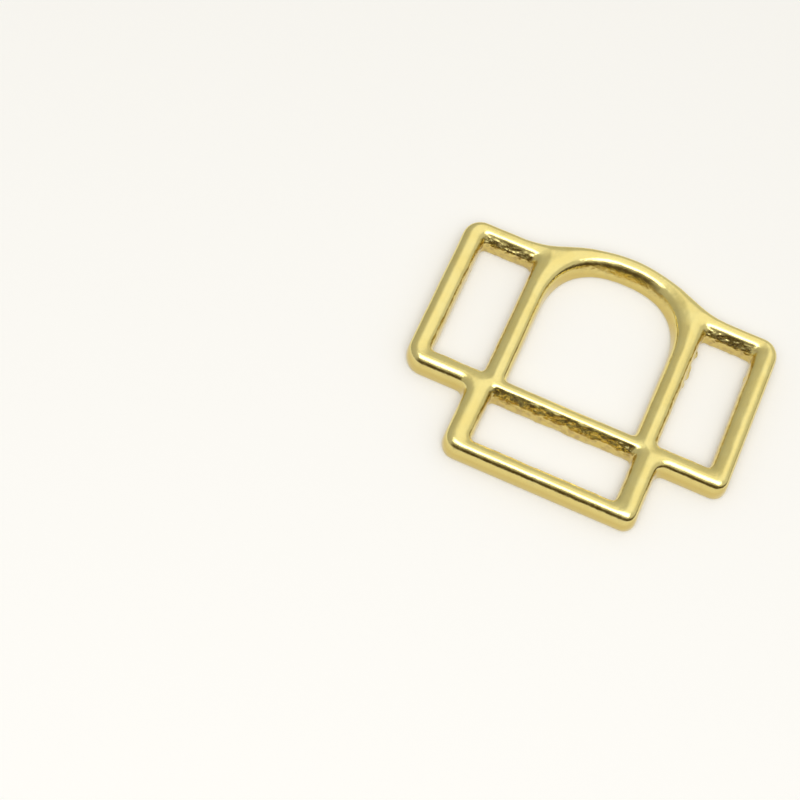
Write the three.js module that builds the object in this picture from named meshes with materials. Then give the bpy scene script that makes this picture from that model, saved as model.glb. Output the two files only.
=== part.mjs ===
// Halter slider: a flat frame that gathers three 25 mm webbing straps and a round rope or ring.
// It is one solid brass casting, so it is one mesh: bars, legs and arch run into each other
// with no seam. It has a D-shaped opening in the middle under an arched bar, an upright strap
// slot on each side, and a wide strap slot below.
//
// Frame: millimetres, the slider lying flat. +X runs along its long side, +Y towards the arch,
// +Z up out of its upper face. The origin is the middle of the underside's bounding box.

import * as THREE from 'three';

// Driving sizes, measured at mid thickness, where every bar is widest.
const WEBBING = 25.4; // strap that the side slots are made for
const THICKNESS = 4.6;
const EDGE_ROUND = 1.35; // how far the rounded edges reach in from the sides and the faces

const SIDE_SLOT_WIDTH = 10.6;
const LOWER_SLOT_WIDTH = 29;
const LOWER_SLOT_HEIGHT = 9.95;
const D_WIDTH = 26.2;
const D_STRAIGHT = 17.6; // height of the D's straight sides
const D_ARCH = 13; // rise of the D's arch above them
const D_FULLNESS = 0.66; // 0.55 makes the arch an ellipse, more makes it squarer

const LEG = 4.75; // between the D and each side slot
const OUTER_BAR = 4.55;
const TOP_BAR = 4.55;
const CROSSBAR = 4.05; // between the D and the lower slot
const LOOP_BAR = 4.8; // lower bar of each strap loop, a little below the crossbar's edge
const LOWER_SIDE_BAR = 5.2;
const BOTTOM_BAR = 3.95;
const ARCH_BAR = 4.4; // at the arch's crown

const SHOULDER_HALF = 19.4; // where the arch's outer line runs out into the top bars
const SHOULDER_HANDLE = 2.9; // how soft that run-out is
const CROWN_HANDLE = 9.6; // how flat the crown is

const SLOT_CORNER = 1.7;
const TOP_CORNER = 4;
const SIDE_CORNER = 3;
const BOTTOM_CORNER = 2.8;
const NOTCH_CORNER = 1.8;

const CORNER_STEPS = 6;
const ARCH_STEPS = 14;
const EDGE_STEPS = 3;

// Places that follow from them.
const dHalf = D_WIDTH / 2;
const slotInner = dHalf + LEG;
const slotOuter = slotInner + SIDE_SLOT_WIDTH;
const outerHalf = slotOuter + OUTER_BAR;
const lowerSlotHalf = LOWER_SLOT_WIDTH / 2;
const lowerHalf = lowerSlotHalf + LOWER_SIDE_BAR;
const height = BOTTOM_BAR + LOWER_SLOT_HEIGHT + CROSSBAR + D_STRAIGHT + D_ARCH + ARCH_BAR;
const bottomY = -height / 2;
const crownY = height / 2;
const lowerSlotY = bottomY + BOTTOM_BAR;
const crossbarY = lowerSlotY + LOWER_SLOT_HEIGHT;
const slotY = crossbarY + CROSSBAR;
const loopY = slotY - LOOP_BAR;
const shoulderY = slotY + WEBBING + TOP_BAR;

// Points of a polygon's corners, each rounded by its own radius; corners are [x, y, radius].
function roundedCorners(corners) {
  const points = [];
  corners.forEach(([x, y, radius], i) => {
    const before = corners[(i + corners.length - 1) % corners.length];
    const after = corners[(i + 1) % corners.length];
    const corner = new THREE.Vector2(x, y);
    const back = new THREE.Vector2(before[0] - x, before[1] - y).normalize();
    const on = new THREE.Vector2(after[0] - x, after[1] - y).normalize();
    const centre = corner.clone().addScaledVector(back, radius).addScaledVector(on, radius);
    const from = Math.atan2(-on.y, -on.x);
    const turn = back.cross(on) < 0 ? Math.PI / 2 : -Math.PI / 2;
    for (let step = 0; step <= CORNER_STEPS; step += 1) {
      const angle = from + (turn * step) / CORNER_STEPS;
      const spoke = new THREE.Vector2(Math.cos(angle), Math.sin(angle));
      points.push(centre.clone().addScaledVector(spoke, radius));
    }
  });
  return points;
}

function rectangle(left, right, low, high) {
  return roundedCorners([
    [left, low, SLOT_CORNER],
    [right, low, SLOT_CORNER],
    [right, high, SLOT_CORNER],
    [left, high, SLOT_CORNER],
  ]);
}

function curve(x0, y0, x1, y1, x2, y2, x3, y3) {
  const ends = [new THREE.Vector2(x0, y0), new THREE.Vector2(x1, y1)];
  ends.push(new THREE.Vector2(x2, y2), new THREE.Vector2(x3, y3));
  return new THREE.CubicBezierCurve(...ends).getPoints(ARCH_STEPS);
}

// Half of an arch from its right foot to its crown, and the whole arch made by mirroring it.
function mirrored(rightHalf) {
  const leftHalf = rightHalf.slice(0, -1).reverse();
  return [...rightHalf, ...leftHalf.map((point) => new THREE.Vector2(-point.x, point.y))];
}

// The outer edge, anticlockwise from the lower left: the strap loops step out past the lower
// slot at the notches, and the arch rises between them in one soft S on each side.
function outerEdge() {
  const corners = roundedCorners([
    [-outerHalf, loopY, SIDE_CORNER],
    [-lowerHalf, loopY, NOTCH_CORNER],
    [-lowerHalf, bottomY, BOTTOM_CORNER],
    [lowerHalf, bottomY, BOTTOM_CORNER],
    [lowerHalf, loopY, NOTCH_CORNER],
    [outerHalf, loopY, SIDE_CORNER],
    [outerHalf, shoulderY, TOP_CORNER],
    [-outerHalf, shoulderY, TOP_CORNER],
  ]);
  const soft = SHOULDER_HALF - SHOULDER_HANDLE;
  const half = curve(SHOULDER_HALF, shoulderY, soft, shoulderY, CROWN_HANDLE, crownY, 0, crownY);
  const lastCorner = corners.length - (CORNER_STEPS + 1);
  return [...corners.slice(0, lastCorner), ...mirrored(half), ...corners.slice(lastCorner)];
}

function dOpening() {
  const springY = slotY + D_STRAIGHT;
  const topY = springY + D_ARCH;
  const rise = springY + D_ARCH * D_FULLNESS;
  const half = curve(dHalf, springY, dHalf, rise, dHalf * D_FULLNESS, topY, 0, topY);
  const sill = roundedCorners([
    [-dHalf, slotY, SLOT_CORNER],
    [dHalf, slotY, SLOT_CORNER],
    [dHalf, springY, 0],
    [-dHalf, springY, 0],
  ]).slice(0, 2 * (CORNER_STEPS + 1));
  return [...sill, ...mirrored(half)];
}

// Extrudes the drawn outline and rounds its edges, leaving a flat land on each face and a flat
// band around every wall.
function castFrame() {
  const outline = new THREE.Shape(outerEdge());
  outline.holes = [
    rectangle(-slotOuter, -slotInner, slotY, slotY + WEBBING),
    rectangle(slotInner, slotOuter, slotY, slotY + WEBBING),
    rectangle(-lowerSlotHalf, lowerSlotHalf, lowerSlotY, crossbarY),
    dOpening(),
  ].map((points) => new THREE.Path(points));
  const frame = new THREE.ExtrudeGeometry(outline, {
    depth: THICKNESS - 2 * EDGE_ROUND,
    bevelThickness: EDGE_ROUND,
    bevelSize: EDGE_ROUND,
    bevelOffset: -EDGE_ROUND,
    bevelSegments: EDGE_STEPS,
  });
  return frame.translate(0, 0, EDGE_ROUND);
}

const polishedBrass = new THREE.MeshStandardMaterial({
  color: new THREE.Color(0.83, 0.68, 0.33),
  metalness: 1,
  roughness: 0.25,
});

const sliderCasting = new THREE.Mesh(castFrame(), polishedBrass);
sliderCasting.name = 'slider_casting';

const slider = new THREE.Group();
slider.add(sliderCasting);

export default slider;
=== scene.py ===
# Halter slider, cast in solid brass for 25 mm strap: one piece of metal with four openings.
# The file follows the making of a real one: the pattern plate, its openings, the pour with its
# flash and tumbling, the finish, and then the table, the camera and the light.

import math

import bpy
from mathutils import Matrix, Vector


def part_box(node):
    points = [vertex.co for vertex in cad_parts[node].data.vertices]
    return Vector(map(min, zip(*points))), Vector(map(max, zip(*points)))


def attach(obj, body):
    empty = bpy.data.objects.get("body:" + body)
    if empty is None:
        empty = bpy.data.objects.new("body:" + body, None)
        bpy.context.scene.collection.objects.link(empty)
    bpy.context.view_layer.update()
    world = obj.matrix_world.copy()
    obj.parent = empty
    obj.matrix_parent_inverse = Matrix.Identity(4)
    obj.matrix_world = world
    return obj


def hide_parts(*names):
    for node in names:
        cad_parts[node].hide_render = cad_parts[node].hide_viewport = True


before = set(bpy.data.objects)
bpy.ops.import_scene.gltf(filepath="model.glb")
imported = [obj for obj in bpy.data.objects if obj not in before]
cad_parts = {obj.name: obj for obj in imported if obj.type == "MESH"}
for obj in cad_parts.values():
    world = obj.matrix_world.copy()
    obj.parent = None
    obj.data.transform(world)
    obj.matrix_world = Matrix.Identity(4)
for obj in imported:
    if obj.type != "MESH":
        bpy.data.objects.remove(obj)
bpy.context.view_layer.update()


# ---------------------------------------------------------------------------------------------
# Pattern plate: the brass is cast from a flat pattern of the slider, sawn to its outline and
# filed to a draft, so that it leaves the sand. Two strap loops stand out past the lower loop,
# and an arch joins them on top.
# ---------------------------------------------------------------------------------------------
MM = 0.001
NEAR = 0.05 * MM  # places closer together than this are the same place
low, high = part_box("slider_casting")
crown_y = high.y
bottom_y = low.y
outer_half = high.x

lower_half = 19.7 * MM
sill_y = bottom_y + 13.4 * MM  # lower edge of the strap loops
slot_y = sill_y + 4.55 * MM  # foot of the side slots and of the D
shoulder_y = crown_y - 5.1 * MM  # top edge of the strap loops
arch_foot = 18.2 * MM
crown_half = 5.9 * MM
pulled_in = 0.35 * MM  # the right loop leans in a little at its top
wall_foot = 0.3 * MM  # the upright part of the outer walls, before any rounding
wall_head = 1.5 * MM


def pick(piece, kind, test):
    """Selects the vertices, edges or faces whose middle passes the test, and goes to edit mode."""
    bpy.ops.object.mode_set(mode="OBJECT")
    mesh = piece.data
    for group in (mesh.vertices, mesh.edges, mesh.polygons):
        group.foreach_set("select", [False] * len(group))
    if kind == "VERT":
        for vertex in mesh.vertices:
            vertex.select = test(vertex.co)
    elif kind == "EDGE":
        for edge in mesh.edges:
            ends = [mesh.vertices[i].co for i in edge.vertices]
            edge.select = test((ends[0] + ends[1]) / 2)
    else:
        for face in mesh.polygons:
            face.select = test(face.center)
    bpy.ops.object.mode_set(mode="EDIT")
    bpy.ops.mesh.select_mode(type=kind)


def flat_sheet(name, left, right, bottom, top):
    """A flat rectangular face at the foot of the walls, left in edit mode."""
    bpy.ops.object.select_all(action="DESELECT")
    middle = ((left + right) / 2, (bottom + top) / 2, wall_foot)
    bpy.ops.mesh.primitive_plane_add(size=1, location=middle)
    sheet = bpy.context.object
    sheet.name = name
    bpy.ops.object.mode_set(mode="EDIT")
    bpy.ops.transform.resize(value=(right - left, top - bottom, 1))
    bpy.ops.object.mode_set(mode="OBJECT")
    bpy.ops.object.transform_apply(location=True, rotation=True, scale=True)
    bpy.ops.object.mode_set(mode="EDIT")
    return sheet


def pick_corner(sheet, x, y):
    """Selects one sharp corner of a sheet's outline."""
    pick(sheet, "VERT", lambda co: abs(co.x - x) < NEAR and abs(co.y - y) < NEAR)


def round_corner(sheet, x, y, reach, profile=0.5, steps=8):
    """Rounds one corner, from so far back; a profile of 0.5 is an arc, and more is squarer."""
    pick_corner(sheet, x, y)
    bpy.ops.mesh.bevel(offset=reach, segments=steps, profile=profile, affect="VERTICES")


def pull_corner(sheet, x, y, inwards):
    """Moves one corner towards the left."""
    pick_corner(sheet, x, y)
    bpy.ops.transform.translate(value=(-inwards, 0, 0))


def thicken(sheet, depth):
    """Gives a sheet its depth, upwards from where it lies."""
    pick(sheet, "FACE", lambda middle: True)
    bpy.ops.mesh.extrude_region_move(TRANSFORM_OT_translate={"value": (0, 0, depth)})
    bpy.ops.mesh.select_all(action="SELECT")
    bpy.ops.mesh.normals_make_consistent(inside=False)
    bpy.ops.object.mode_set(mode="OBJECT")


def step_up(sheet, x_test, y, rise):
    """Extends the sheet upwards from its edges at height y, where their x passes the test."""
    pick(sheet, "EDGE", lambda co: abs(co.y - y) < NEAR and x_test(co.x))
    bpy.ops.mesh.extrude_edges_move(TRANSFORM_OT_translate={"value": (0, rise, 0)})


casting = flat_sheet("slider_casting_brass", -lower_half, lower_half, bottom_y, sill_y)
step_up(casting, lambda x: True, sill_y, shoulder_y - sill_y)
for side in (-1, 1):
    pick(casting, "EDGE", lambda co: co.x * side > lower_half - NEAR and co.y > sill_y + MM)
    wing = (outer_half - lower_half) * side
    bpy.ops.mesh.extrude_edges_move(TRANSFORM_OT_translate={"value": (wing, 0, 0)})
pick(casting, "VERT", lambda co: abs(co.x) < lower_half + NEAR and co.y > shoulder_y - MM)
bpy.ops.transform.resize(value=(arch_foot / lower_half, 1, 1), center_override=(0, shoulder_y, 0))
step_up(casting, lambda x: abs(x) < arch_foot, shoulder_y, crown_y - shoulder_y)
bpy.ops.transform.resize(value=(crown_half / arch_foot, 1, 1), center_override=(0, crown_y, 0))
pick(casting, "FACE", lambda middle: True)
bpy.ops.mesh.dissolve_faces()

# The corners are filed by eye, so those of the left and the right loop aren't quite alike.
for side in (-1, 1):
    round_corner(casting, crown_half * side, crown_y, 5.8 * MM)
    round_corner(casting, arch_foot * side, shoulder_y, 3.2 * MM)
    round_corner(casting, lower_half * side, sill_y, 1.6 * MM)
round_corner(casting, -outer_half, shoulder_y, 4.2 * MM)
pull_corner(casting, outer_half, shoulder_y, pulled_in)
round_corner(casting, outer_half - pulled_in, shoulder_y, 4.0 * MM)
round_corner(casting, -outer_half, sill_y, 4.0 * MM)
round_corner(casting, outer_half, sill_y, 2.6 * MM)
round_corner(casting, -lower_half, bottom_y, 3.2 * MM)
round_corner(casting, lower_half, bottom_y, 2.4 * MM)
thicken(casting, wall_head - wall_foot)

# Outside, a wall stands almost upright and then rolls over on to the face. Each row is one stroke
# of the file: how far it draws in, rises, and leans towards the arch, in millimetres. The lean
# gives the edges that look away from the arch the broadest bevel. The back stays flat, with its
# edge only just rounded.
OUTER_ROLL = [
    (0.07, 0.60, 0.06),
    (0.12, 0.60, 0.10),
    (0.16, 0.52, 0.12),
    (0.10, 0.36, 0.07),
    (0.17, 0.32, 0.10),
    (0.22, 0.23, 0.06),
    (0.17, 0.14, 0.02),
    (0.22, 0.12, 0),
    (0.40, 0.13, 0),
    (0.37, 0.10, 0),
]
BACK_ROLL = [(0.06, 0.12, 0), (0.12, 0.11, 0), (0.20, 0.07, 0)]
spread_back = 0.7  # share of each lean that widens the slider again, so its sides stand steeper
for edge_z, roll in ((wall_head, OUTER_ROLL), (wall_foot, BACK_ROLL)):
    pick(casting, "FACE", lambda middle: abs(middle.z - edge_z) < NEAR)
    for inward, rise, lean in roll:
        bpy.ops.mesh.inset(thickness=inward * MM, depth=rise * MM, use_even_offset=True)
        bpy.ops.transform.translate(value=(0, lean * MM, 0))
        wider = 1 + spread_back * lean * MM / outer_half
        bpy.ops.transform.resize(value=(wider, 1, 1), center_override=(0, 0, 0))


# ---------------------------------------------------------------------------------------------
# Openings: three strap slots and the D, which the mould's cores leave in the brass. Each core is
# upright at first and then flares broadly towards the upper face, which roofs the bars between
# the openings like a ridge. At the back it flares only a little.
# ---------------------------------------------------------------------------------------------
slot_inner = 17.85 * MM  # the side slots, from the middle of the slider
slot_outer = 28.45 * MM
slot_top = slot_y + 25.65 * MM  # a 25 mm strap goes through
lower_slot_half = 14.5 * MM
lower_slot_y = bottom_y + 3.95 * MM
crossbar_y = slot_y - 4.05 * MM  # lower edge of the crossbar
d_half = 13.1 * MM
d_top = slot_y + 30.6 * MM
d_arch = 13.0 * MM  # rise of the D's arch above its straight sides
d_fullness = 0.56  # a little squarer than an arc
slot_corner = 1.0 * MM
upright_to = 0.8 * MM  # the upright part of the slots' walls

# Each row is one step of a core towards the upper face: its rise, and how much wider it gets on
# the sides, at the head and at the foot, in millimetres. The head side is broadest, as outside.
ROOF = [
    (0.20, 0.22, 0.20, 0.25),
    (0.16, 0.30, 0.24, 0.30),
    (0.13, 0.42, 0.45, 0.42),
    (0.11, 0.50, 0.60, 0.50),
    (0.10, 0.50, 0.60, 0.50),
]
SLOT_ROLL = [
    (0.60, 0.01, 0.12, 0.01),
    (0.60, 0.02, 0.18, 0.02),
    (0.60, 0.03, 0.27, 0.03),
    (0.32, 0.06, 0.29, 0.03),
    (0.34, 0.10, 0.30, 0.05),
    (0.34, 0.16, 0.31, 0.10),
    (0.30, 0.22, 0.29, 0.20),
    *ROOF,
]
D_ROLL = [
    (0.60, 0.02, 0.20, 0.01),
    (0.60, 0.04, 0.28, 0.02),
    (0.60, 0.06, 0.34, 0.03),
    (0.60, 0.12, 0.36, 0.05),
    (0.35, 0.18, 0.24, 0.12),
    (0.35, 0.24, 0.36, 0.22),
    *ROOF,
]


def cut_opening(left, right, bottom, top, roll, flare=1.0, pulled=0.0, arch=0.0, fullness=0.5):
    """Cuts one flared opening with rounded corners through the casting, arched if asked."""
    core = flat_sheet("core", left, right, bottom, top)
    pull_corner(core, right, top, pulled)
    for x, x_top in ((left, left), (right, right - pulled)):
        round_corner(core, x, bottom, slot_corner)
        if arch:
            round_corner(core, x, top, arch, profile=fullness, steps=20)
        else:
            round_corner(core, x_top, top, slot_corner)
    thicken(core, upright_to - wall_foot)
    middle_x = (left + right) / 2
    back = [(rise, inward, inward, inward) for inward, rise, _ in BACK_ROLL]
    for up, edge_z, steps in ((1, upright_to, roll), (-1, wall_foot, back)):
        pick(core, "FACE", lambda middle: abs(middle.z - edge_z) < NEAR)
        width, height, foot_y = right - left, top - bottom, bottom
        for rise, sides, full_head, foot in steps:
            head = full_head * flare
            move = {"value": (0, 0, rise * up * MM)}
            bpy.ops.mesh.extrude_region_move(TRANSFORM_OT_translate=move)
            still = (middle_x, foot_y + height * foot / (head + foot), 0)
            wider, taller = 2 * sides * MM, (head + foot) * MM
            factors = (1 + wider / width, 1 + taller / height, 1)
            bpy.ops.transform.resize(value=factors, center_override=still)
            width, height, foot_y = width + wider, height + taller, foot_y - foot * MM
        bpy.ops.mesh.extrude_region_move(TRANSFORM_OT_translate={"value": (0, 0, up * MM)})
    bpy.ops.object.mode_set(mode="OBJECT")
    bpy.context.view_layer.objects.active = casting
    cut = casting.modifiers.new("cut", "BOOLEAN")
    cut.operation = "DIFFERENCE"
    cut.solver = "EXACT"
    cut.object = core
    bpy.ops.object.modifier_apply(modifier=cut.name)
    bpy.data.objects.remove(core)


bpy.ops.object.mode_set(mode="OBJECT")
cut_opening(-slot_outer, -slot_inner, slot_y, slot_top, SLOT_ROLL)
cut_opening(slot_inner, slot_outer, slot_y, slot_top, SLOT_ROLL, pulled=pulled_in)
cut_opening(-lower_slot_half, lower_slot_half, lower_slot_y, crossbar_y, SLOT_ROLL, flare=0.85)
cut_opening(-d_half, d_half, slot_y, d_top, D_ROLL, arch=d_arch, fullness=d_fullness)


# ---------------------------------------------------------------------------------------------
# The pour: the metal runs the bars into one body, and leaves a few nubs of flash in the right
# slot. Long tumbling then softens every edge and leaves the faces faintly wavy, but it hardly
# reaches into the slots, whose walls keep the dents and the grain of the sand.
# ---------------------------------------------------------------------------------------------
# A nub's wall, its place along the wall, its height over the back and its own half height.
flash = [
    (slot_inner, 13.2, 1.9, 0.65),
    (slot_inner, 9.6, 2.2, 0.55),
    (slot_inner, 8.3, 1.8, 0.7),
    (slot_inner, 5.9, 2.1, 0.5),
    (slot_outer - 0.2 * MM, 12.4, 2.0, 0.5),
]
nub_thin, nub_long = 0.7, 1.5
bpy.ops.object.select_all(action="DESELECT")
nubs = []
for wall_x, y, z, half_height in flash:
    size = (half_height * nub_thin, half_height * nub_long, half_height)
    spot = (wall_x, y * MM, z * MM)
    bpy.ops.mesh.primitive_ico_sphere_add(subdivisions=2, radius=MM, location=spot, scale=size)
    nubs.append(bpy.context.object)
for piece in (*nubs, casting):
    piece.select_set(True)
bpy.context.view_layer.objects.active = casting
bpy.ops.object.join()
skin = casting.modifiers.new("skin", "REMESH")
skin.mode = "VOXEL"
skin.voxel_size = 0.25 * MM
skin.use_smooth_shade = True
tumble = casting.modifiers.new("tumble", "SMOOTH")
tumble.factor = 0.5
tumble.iterations = 7
for modifier in (skin, tumble):
    bpy.ops.object.modifier_apply(modifier=modifier.name)

# The openings, and how much of the mould's grain is left on the walls of each. Least is left in
# the D, which is wide enough for the tumbling stones.
openings = [
    (-slot_outer, -slot_inner, slot_y, slot_top, 1),
    (slot_inner, slot_outer, slot_y, slot_top, 1),
    (-lower_slot_half, lower_slot_half, lower_slot_y, crossbar_y, 1),
    (-d_half, d_half, slot_y, d_top, 0.15),
]
grain_reach = 1.35 * MM  # how far a wall's grain goes up its bevel, and how soon it fades there
grain_fade = 0.3 * MM
less_grain = 0.45  # its share on the walls that don't look away from the arch
polish_line, polish_fade = 0.82, 0.14  # how far a normal has risen where the polish starts
wall_shade_line, wall_shade_fade = 0.62, 0.3  # and where the painted shade on the walls stops


def upright(normal, limit, fade):
    """Over 1 where the surface stands up, and down to 0 where its normal has risen to a limit."""
    return (limit - abs(normal.z)) / fade


def within(amount):
    """Keeps an amount between 0 and 1."""
    return max(0.0, min(1.0, amount))


def grain_left(spot, normal):
    """1 on a slot's as-cast wall, fading to 0 where the face of the bar is polished."""
    depth = 0
    for left, right, bottom, top, share in openings:
        past = max(left - spot.x, spot.x - right, bottom - spot.y, spot.y - top)
        depth = max(depth, share * (1 - max(past - grain_reach, 0) / grain_fade))
    facing = 1 if -normal.y > abs(normal.x) else less_grain
    return facing * within(min(depth, upright(normal, polish_line, polish_fade)))


points = casting.data.vertices
grain = [grain_left(point.co, point.normal) for point in points]
# Painted shade mask: 1 on steep walls, which the finish tints darker for the shadowed paper they
# reflect.
wall = [within(upright(point.normal, wall_shade_line, wall_shade_fade)) for point in points]
flat_back = 0.4  # millimetres of the back that stay flat on the table
raised = [within(point.co.z / MM - flat_back) for point in points]
for name, amounts in (("cast_walls", grain), ("off_table", raised)):
    group = casting.vertex_groups.new(name=name)
    for index, amount in enumerate(amounts):
        group.add([index], amount, "REPLACE")
for name, amounts in (("wall", wall), ("as_cast", grain)):
    layer = casting.data.attributes.new(name, "FLOAT", "POINT")
    layer.data.foreach_set("value", amounts)

# Unevenness: its name, how far apart and how high its swellings are in millimetres, and where.
for name, size, height, where in (
    ("waves", 5.0, 0.11, "off_table"),
    ("ripples", 2.2, 0.035, "off_table"),
    ("dents", 3.0, 0.25, "cast_walls"),
    ("grain", 0.8, 0.20, "cast_walls"),
):
    pattern = bpy.data.textures.new(name, "CLOUDS")
    pattern.noise_scale = size * MM
    pattern.noise_depth = 1
    uneven = casting.modifiers.new(name, "DISPLACE")
    uneven.texture = pattern
    uneven.texture_coords = "LOCAL"
    uneven.strength = height * MM
    uneven.mid_level = 0.5
    uneven.vertex_group = where
    bpy.ops.object.modifier_apply(modifier=uneven.name)


# ---------------------------------------------------------------------------------------------
# Finish: yellow brass, polished bright on its faces, in faint patches of two colours. The steep
# walls carry painted shade, a darker brown for the shadowed paper they reflect, and brown stays
# in the pits of the slots. A thin clear lacquer keeps it all from tarnish.
# ---------------------------------------------------------------------------------------------
pale_brass = (0.885, 0.765, 0.30)
warm_brass = (0.87, 0.73, 0.26)
# Painted shade: the darker brown given to steep walls for the shadowed paper they reflect.
painted_wall_shade = (0.66, 0.51, 0.155)
pit_brown = (0.50, 0.36, 0.13)

brass = bpy.data.materials.new("cast_brass")
brass.use_nodes = True
tree = brass.node_tree
shader = tree.nodes["Principled BSDF"]
shader.inputs["Metallic"].default_value = 1
shader.inputs["Coat Weight"].default_value = 0.5
shader.inputs["Coat Roughness"].default_value = 0.12
place = tree.nodes.new("ShaderNodeTexCoord").outputs["Object"]


def stored(name):
    """Reads one of the amounts that were stored on the casting's points."""
    attribute = tree.nodes.new("ShaderNodeAttribute")
    attribute.attribute_name = name
    return attribute.outputs["Fac"]


def mottle(size, detail):
    """A noise whose blotches are about so many millimetres across."""
    spread = tree.nodes.new("ShaderNodeMapping")
    spread.inputs["Scale"].default_value = [1 / (size * MM)] * 3
    noise = tree.nodes.new("ShaderNodeTexNoise")
    noise.inputs["Scale"].default_value = 1
    noise.inputs["Detail"].default_value = detail
    tree.links.new(place, spread.inputs["Vector"])
    tree.links.new(spread.outputs["Vector"], noise.inputs["Vector"])
    return noise.outputs["Fac"]


def ramp(source, start, end, low_value, high_value):
    """Stretches what lies between start and end over two new values, and stops there."""
    stretch = tree.nodes.new("ShaderNodeMapRange")
    stretch.inputs["From Min"].default_value = start
    stretch.inputs["From Max"].default_value = end
    stretch.inputs["To Min"].default_value = low_value
    stretch.inputs["To Max"].default_value = high_value
    tree.links.new(source, stretch.inputs["Value"])
    return stretch.outputs["Result"]


def reckon(operation, first, second):
    """Adds or multiplies two amounts."""
    result = tree.nodes.new("ShaderNodeMath")
    result.operation = operation
    tree.links.new(first, result.inputs[0])
    tree.links.new(second, result.inputs[1])
    return result.outputs["Value"]


def tint(amount, first, second):
    """Goes from the first colour to the second by an amount."""
    mix = tree.nodes.new("ShaderNodeMix")
    mix.data_type = "RGBA"
    for socket, colour in (("A", first), ("B", second)):
        if isinstance(colour, tuple):
            mix.inputs[socket].default_value = (*colour, 1)
        else:
            tree.links.new(colour, mix.inputs[socket])
    tree.links.new(amount, mix.inputs["Factor"])
    return mix.outputs["Result"]


as_cast = stored("as_cast")
patches = ramp(mottle(4.5, 3), 0.38, 0.62, 0, 1)
polished = tint(patches, pale_brass, warm_brass)
# Painted shade: the steep walls get the darker brown, for the shadowed paper they reflect.
walls = tint(stored("wall"), polished, painted_wall_shade)
pits = reckon("MULTIPLY", ramp(mottle(1.1, 3), 0.45, 0.66, 0, 0.9), as_cast)
tree.links.new(tint(pits, walls, pit_brown), shader.inputs["Base Color"])
rubbed = ramp(mottle(1.6, 4), 0.35, 0.7, 0.12, 0.24)
dull = reckon("ADD", rubbed, ramp(as_cast, 0, 1, 0, 0.03))
tree.links.new(dull, shader.inputs["Roughness"])

# Fine relief that the mesh doesn't hold, and its depth in millimetres: two sizes of rubbing
# marks all over, and the skin of the casting on the slots' walls.
relief = [
    (ramp(mottle(0.8, 3), 0, 1, 0, 1), 0.024),
    (ramp(mottle(0.24, 3), 0, 1, 0, 1), 0.012),
    (reckon("MULTIPLY", mottle(0.42, 2), as_cast), 0.07),
]
normal = None
for height, depth in relief:
    bump = tree.nodes.new("ShaderNodeBump")
    bump.inputs["Distance"].default_value = depth * MM
    tree.links.new(height, bump.inputs["Height"])
    if normal:
        tree.links.new(normal, bump.inputs["Normal"])
    normal = bump.outputs["Normal"]
tree.links.new(normal, shader.inputs["Normal"])
casting.data.materials.clear()
casting.data.materials.append(brass)
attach(casting, "root")
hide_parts("slider_casting")


# ---------------------------------------------------------------------------------------------
# Table, camera and light: the slider lies on white paper and is seen from above through a long
# lens. A pale softbox hangs over it on the viewer's side. Low behind the viewer the room is
# dark, which draws the dark line along each lower edge.
# ---------------------------------------------------------------------------------------------
paper_white = (0.965, 0.96, 0.905, 1)
paper_glow = (1, 0.995, 0.95, 1)

bpy.ops.object.select_all(action="DESELECT")
bpy.ops.mesh.primitive_plane_add(size=3, location=(0, 0, 0))
table_top = bpy.context.object
table_top.name = "table_top"
paper = bpy.data.materials.new("white_paper")
paper.use_nodes = True
paper_inputs = paper.node_tree.nodes["Principled BSDF"].inputs
paper_inputs["Base Color"].default_value = paper_white
paper_inputs["Roughness"].default_value = 0.7
paper_inputs["Emission Color"].default_value = paper_glow
paper_inputs["Emission Strength"].default_value = 0.055
table_top.data.materials.append(paper)

camera = bpy.data.objects.new("camera", bpy.data.cameras.new("camera"))
bpy.context.collection.objects.link(camera)
nod, bank, turn = -0.4328, 0.0838, -0.4076  # radians, from a view straight down
stance = Matrix.Rotation(nod, 4, "X") @ Matrix.Rotation(bank, 4, "Y") @ Matrix.Rotation(turn, 4, "Z")
aim = Vector((0, 1.425 * MM, 0))
offset = Vector((35.734 * MM, 5.212 * MM, -432.77 * MM))  # of the aim, as the camera sees it
camera.matrix_world = Matrix.Translation(aim) @ stance.inverted() @ Matrix.Translation(-offset)
camera.data.sensor_width = 36
camera.data.lens = 101.52
camera.data.clip_start = 0.01
bpy.context.scene.camera = camera

world = bpy.data.worlds.new("studio")
bpy.context.scene.world = world
world.use_nodes = True
nodes, links = world.node_tree.nodes, world.node_tree.links
direction = nodes.new("ShaderNodeTexCoord")


def sweep(towards, start, end, low_value, high_value):
    """A soft step in the room's light, measured along one direction."""
    along = nodes.new("ShaderNodeVectorMath")
    along.operation = "DOT_PRODUCT"
    along.inputs[1].default_value = towards
    links.new(direction.outputs["Generated"], along.inputs[0])
    step = nodes.new("ShaderNodeMapRange")
    step.interpolation_type = "SMOOTHSTEP"
    step.inputs["From Min"].default_value = start
    step.inputs["From Max"].default_value = end
    step.inputs["To Min"].default_value = low_value
    step.inputs["To Max"].default_value = high_value
    links.new(along.outputs["Value"], step.inputs["Value"])
    return step.outputs["Result"]


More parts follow.
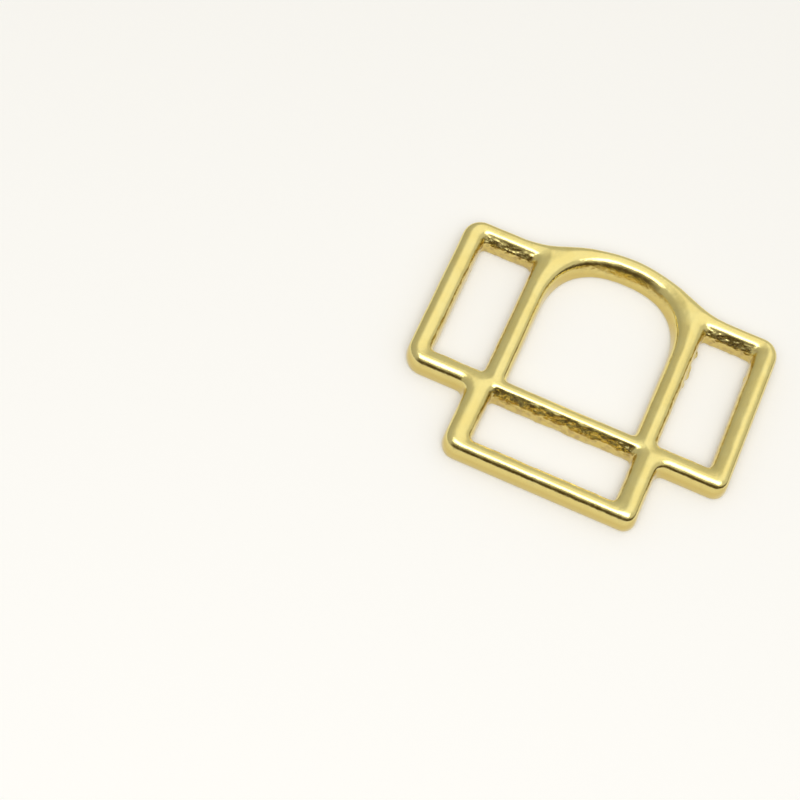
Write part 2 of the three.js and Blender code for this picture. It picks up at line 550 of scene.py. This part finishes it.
def combine(operation, first, second):
    """Adds two parts of the room's light, or takes the stronger of them."""
    joined = nodes.new("ShaderNodeMath")
    joined.operation = operation
    links.new(first, joined.inputs[0])
    links.new(second, joined.inputs[1])
    return joined.outputs["Value"]


# The room is paler to the right, and glows overhead and behind the right shoulder of the arch.
dark_side = (0.13, 0.095, 0.05, 1)
light_side = (1, 0.975, 0.93, 1)
left_to_right = sweep((1, 0, 0.4), -0.9, 0.6, 0.44, 0.64)
side_glow = sweep((0.21, 0.41, 0.885), 0.84, 1.0, 0, 0.44)
top_glow = sweep((0.05, -0.08, 0.995), 0.87, 0.995, 0, 0.48)
ceiling = combine("ADD", left_to_right, combine("MAXIMUM", side_glow, top_glow))
above_dark = sweep((0, 0.3, 1), 0.20, 0.42, 0, 1)
away_from_dark = sweep((0.75, -0.66, 0), 0.05, 0.4, 1, 0)
room = nodes.new("ShaderNodeMix")
room.data_type = "RGBA"
room.inputs["A"].default_value = dark_side
room.inputs["B"].default_value = light_side
links.new(combine("MAXIMUM", above_dark, away_from_dark), room.inputs["Factor"])
links.new(room.outputs["Result"], nodes["Background"].inputs["Color"])
links.new(ceiling, nodes["Background"].inputs["Strength"])

lamp_white = (0.985, 1, 1.11)


def softbox(name, front, right, distance, width, depth, radiance):
    """A rectangular lamp aimed at the slider, so many degrees from overhead to front and right."""
    heading = Vector((math.tan(math.radians(right)), -math.tan(math.radians(front)), 1))
    heading.normalize()
    lamp = bpy.data.lights.new(name, "AREA")
    lamp.shape = "RECTANGLE"
    lamp.size = width
    lamp.size_y = depth
    lamp.color = lamp_white
    lamp.energy = radiance * math.pi * width * depth
    holder = bpy.data.objects.new(name, lamp)
    bpy.context.collection.objects.link(holder)
    across = Vector((1, 0, 0)) - heading * heading.x
    across.normalize()
    along = heading.cross(across)
    turn_to = Matrix((across, along, heading)).transposed()
    holder.matrix_world = Matrix.Translation(heading * distance) @ turn_to.to_4x4()


softbox("overhead_softbox", front=25, right=4, distance=0.8, width=0.75, depth=0.5, radiance=1.6)
softbox("overhead_lamp", front=27, right=4, distance=0.75, width=0.5, depth=0.28, radiance=1.2)

bpy.context.scene.view_settings.view_transform = "Standard"
